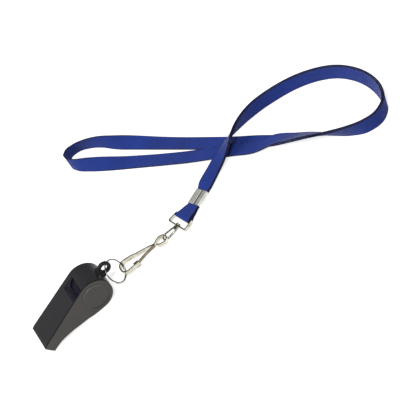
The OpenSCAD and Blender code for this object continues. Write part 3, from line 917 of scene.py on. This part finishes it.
class WHISTLE_OT_strap(bpy.types.Operator):
    """Lay the neck strap and press the crimp over it"""

    bl_idname = "whistle.make_strap"
    bl_label = "Neck strap and crimp"

    def execute(self, context):
        settings = context.scene.whistle_strap
        cloth = woven_polyester(settings)
        sheet = plated_metal("Nickel plated crimp sheet", "#f2f2ec", "#cfd0c8", 0.5, (1, 6, 1),
                             groove=True)
        crimp = dressed("strap_crimp", "crimp_sleeve", "strap", sheet, crimp_round, 60)
        out, back = strap_halves()
        halves = (("neck_strap_out", out), ("neck_strap_back", list(reversed(back))))
        for name, sections in halves:
            fine = smooth_sections(sections, section_space)
            piece = ribbon(name, fine)
            settle(piece, "strap", ["neck_strap"], cloth)
        return {"FINISHED"}


class WHISTLE_OT_shell(bpy.types.Operator):
    """Make the moulded body with its eyelet, and the side cover with its bare disc"""

    bl_idname = "whistle.make_shell"
    bl_label = "Whistle body and cover"

    def execute(self, context):
        settings = context.scene.whistle_shell
        # The body's second colour is painted light inside the hollow
        dark = moulded_plastic("Satin black ABS", "#262628", "#474552", settings, line_angle=49)
        dressed("whistle_body", "moulded_body", "whistle", dark, settings.edge_round, 40,
                outer=body_round, marks=body_marks)
        # The cover's second colour is a painted highlight on the disc's edge
        grey = moulded_plastic("Satin black ABS cover", "#474441", "#85817c", settings, disc_shadow=True)
        dressed("side_cover", "moulded_cover", "whistle", grey, settings.edge_round, 40,
                outer=settings.rim_round, marks=cover_marks)
        return {"FINISHED"}


class WHISTLE_OT_pea(bpy.types.Operator):
    """Give the pea its cork"""

    bl_idname = "whistle.make_pea"
    bl_label = "Pea"

    def execute(self, context):
        pea = frame["nodes"]["pea"]
        pea.data.materials.clear()
        pea.data.materials.append(pressed_cork())
        return {"FINISHED"}


class WHISTLE_OT_ring(bpy.types.Operator):
    """Wind the split ring through the eyelet"""

    bl_idname = "whistle.make_ring"
    bl_label = "Split ring"

    def execute(self, context):
        settings = context.scene.whistle_metal
        low, high = (Vector(corner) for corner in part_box("split_ring"))
        middle = (low + high) / 2
        hang = Vector(joints["ring_swing"]["pos_m"])
        tangent = Vector(joints["ring_swing"]["axis"]).normalized()
        normal = (hang - middle).cross(tangent).normalized()
        down = Vector((0, 0, -1))
        down = (down - normal * down.dot(normal)).normalized()
        side = Vector((0, 0, 1)).cross(down)
        side = (side - normal * side.dot(normal)).normalized()
        if side.y < 0:
            side = -side
        normal = down.cross(side)
        turn = Matrix((down, side, normal)).transposed().to_4x4()
        wire = plated_metal("Nickel plated ring wire", "#a3a39b", "#66665d", 0.3, (3, 3, 3))
        seed = path_mesh([(0, 0, 0), (MM, 0, 0)], False)
        ring = grown("split_ring_wire", seed, ring_tree(), {
            "Radius": (hang - middle).length, "Wire thickness": settings.ring_wire,
            "Step": settings.ring_step, "Start angle": math.radians(ring_start),
            "Sweep": math.radians(ring_sweep), "Sides": settings.sides, "Material": wire},
            Matrix.Translation(middle) @ turn)
        settle(ring, "ring", ["split_ring"], wire)
        return {"FINISHED"}


class WHISTLE_OT_hook(bpy.types.Operator):
    """Bend the snap hook and its sprung gate"""

    bl_idname = "whistle.make_hook"
    bl_label = "Snap hook"

    def execute(self, context):
        settings = context.scene.whistle_metal
        strip = plated_metal("Nickel plated hook strip", "#dfdbcd", "#b5b09d", 0.2, (1, 1, 8))
        dressed("hook_body", "hook_strip", "hook", strip, settings.edge_round, 50,
                marks=strip_marks)
        # The gate's darker, browner tones are partly its own and partly painted shade of its shadow
        spring = plated_metal("Nickel plated spring strip", "#9a917a", "#5d553f", 0.3, (1, 1, 8))
        dressed("hook_gate", "gate_spring", "gate", spring, settings.edge_round / 2, 50,
                marks=strip_marks)
        return {"FINISHED"}


class WHISTLE_OT_swivel(bpy.types.Operator):
    """Bend the link through the hook's eye and turn the stud"""

    bl_idname = "whistle.make_swivel"
    bl_label = "Swivel link and stud"

    def execute(self, context):
        settings = context.scene.whistle_metal
        turned = plated_metal("Nickel plated turned stud", "#b6b2a0", "#6d6957", 0.24, (1, 6, 6))
        dressed("swivel_stud", "stud_turned", "swivel", turned, stud_round, 50)
        wire = plated_metal("Nickel plated link wire", "#a5a294", "#646156", 0.3, (4, 4, 4))
        hinge = joints["link_swing"]
        left = Vector(hinge["axis"]).normalized()
        ahead = left.cross(Vector((0, 0, 1)))
        place = Matrix((ahead, left, Vector((0, 0, 1)))).transposed().to_4x4()
        link = grown("link_wire", path_mesh(link_path(hinge["pos_m"][2]), True), wire_tree(), {
            "Wire thickness": settings.link_wire, "Sides": settings.sides, "Material": wire},
            Matrix.Translation(Vector(hinge["pos_m"])) @ place)
        settle(link, "swivel", ["swivel_link"], wire)
        return {"FINISHED"}


class WHISTLE_OT_buckle(bpy.types.Operator):
    """Bend the frame that carries the strap's bar"""

    bl_idname = "whistle.make_buckle"
    bl_label = "Strap frame"

    def execute(self, context):
        settings = context.scene.whistle_metal
        strip = plated_metal("Nickel plated frame strip", "#dedcd0", "#a9a79a", 0.18, (1, 1, 8))
        dressed("strap_frame", "buckle_strip", "frame", strip, settings.edge_round, 50,
                marks=strip_marks)
        return {"FINISHED"}


class WHISTLE_OT_stage(bpy.types.Operator):
    """Set up the white table and its soft lamps"""

    bl_idname = "whistle.make_stage"
    bl_label = "Table and light"

    def execute(self, context):
        settings = context.scene.whistle_stage
        mesh = bpy.data.meshes.new("Table top")
        corners = [(x * table_reach, y * table_reach, table_depth)
                   for x, y in ((-1, -1), (1, -1), (1, 1), (-1, 1))]
        mesh.from_pydata(corners, [], [(0, 1, 2, 3)])
        table = show(mesh, "table_top")
        paper = bpy.data.materials.new("White table paper")
        paper.use_nodes = True
        tree = paper.node_tree
        tree.nodes.clear()
        matt = add(tree, "ShaderNodeBsdfDiffuse", {"Color": (0.5, 0.5, 0.5, 1)})
        glow = add(tree, "ShaderNodeEmission", {"Strength": self.seen(tree, settings.paper)})
        both = add(tree, "ShaderNodeAddShader", {0: matt.outputs[0], 1: glow.outputs[0]})
        add(tree, "ShaderNodeOutputMaterial", {"Surface": both.outputs[0]})
        mesh.materials.append(paper)
        world = bpy.data.worlds.new("White room")
        world.use_nodes = True
        tree = world.node_tree
        tree.nodes.clear()
        sky = add(tree, "ShaderNodeBackground", {
            "Color": (1, 1, 1, 1), "Strength": settings.sky})
        add(tree, "ShaderNodeOutputWorld", {"Surface": sky.outputs[0]})
        context.scene.world = world
        self.lamp(context, "Front lamp", settings.key_power, place=(0.05, -0.65, 1.25), size=0.35)
        self.lamp(context, "Left lamp", settings.fill_power, place=(-1.15, 0.2, 0.8), size=0.5)
        return {"FINISHED"}

    def seen(self, tree, amount):
        """Give an amount for the rays that should meet the white room."""
        rays = add(tree, "ShaderNodeLightPath").outputs
        any_ray = rays["Is Camera Ray"]
        for kind in ("Is Glossy Ray", "Is Transmission Ray"):
            any_ray = add(tree, "ShaderNodeMath", {
                0: any_ray, 1: rays[kind]}, operation="MAXIMUM").outputs[0]
        return add(tree, "ShaderNodeMath", {
            0: any_ray, 1: amount}, operation="MULTIPLY").outputs[0]

    def lamp(self, context, name, power, place, size):
        """Hang a square soft lamp that looks at the middle of the object."""
        data = bpy.data.lights.new(name, "AREA")
        data.size = size
        data.energy = power
        holder = bpy.data.objects.new(name, data)
        context.scene.collection.objects.link(holder)
        holder.location = place
        aim = Vector(lamp_aim) - Vector(place)
        holder.rotation_euler = aim.to_track_quat("-Z", "Y").to_euler()


class WHISTLE_PT_panel(bpy.types.Panel):
    """Lists the steps that build the whistle"""

    bl_label = "Sports whistle"
    bl_idname = "WHISTLE_PT_panel"
    bl_space_type = "VIEW_3D"
    bl_region_type = "UI"
    bl_category = "Whistle"

    def draw(self, context):
        for operator in operators:
            self.layout.operator(operator.bl_idname)
        for group in groups:
            settings = getattr(context.scene, group)
            box = self.layout.box()
            for name in settings.__annotations__:
                box.prop(settings, name)


# The settings as the scene holds them, and the steps in their order
groups = {
    "whistle_strap": StrapSettings, "whistle_shell": ShellSettings,
    "whistle_metal": MetalSettings, "whistle_stage": StageSettings}
operators = (
    WHISTLE_OT_camera, WHISTLE_OT_strap, WHISTLE_OT_shell, WHISTLE_OT_pea, WHISTLE_OT_ring,
    WHISTLE_OT_hook, WHISTLE_OT_swivel, WHISTLE_OT_buckle, WHISTLE_OT_stage)
classes = (*groups.values(), *operators, WHISTLE_PT_panel)


def register():
    for cls in classes:
        bpy.utils.register_class(cls)
    for name, group in groups.items():
        setattr(bpy.types.Scene, name, PointerProperty(type=group))


def unregister():
    for name in reversed(groups):
        delattr(bpy.types.Scene, name)
    for cls in reversed(classes):
        bpy.utils.unregister_class(cls)


def main():
    register()
    bpy.ops.whistle.set_camera()
    bpy.ops.whistle.make_strap()
    bpy.ops.whistle.make_shell()
    bpy.ops.whistle.make_pea()
    bpy.ops.whistle.make_ring()
    bpy.ops.whistle.make_hook()
    bpy.ops.whistle.make_swivel()
    bpy.ops.whistle.make_buckle()
    bpy.ops.whistle.make_stage()


if __name__ == "__main__":
    main()
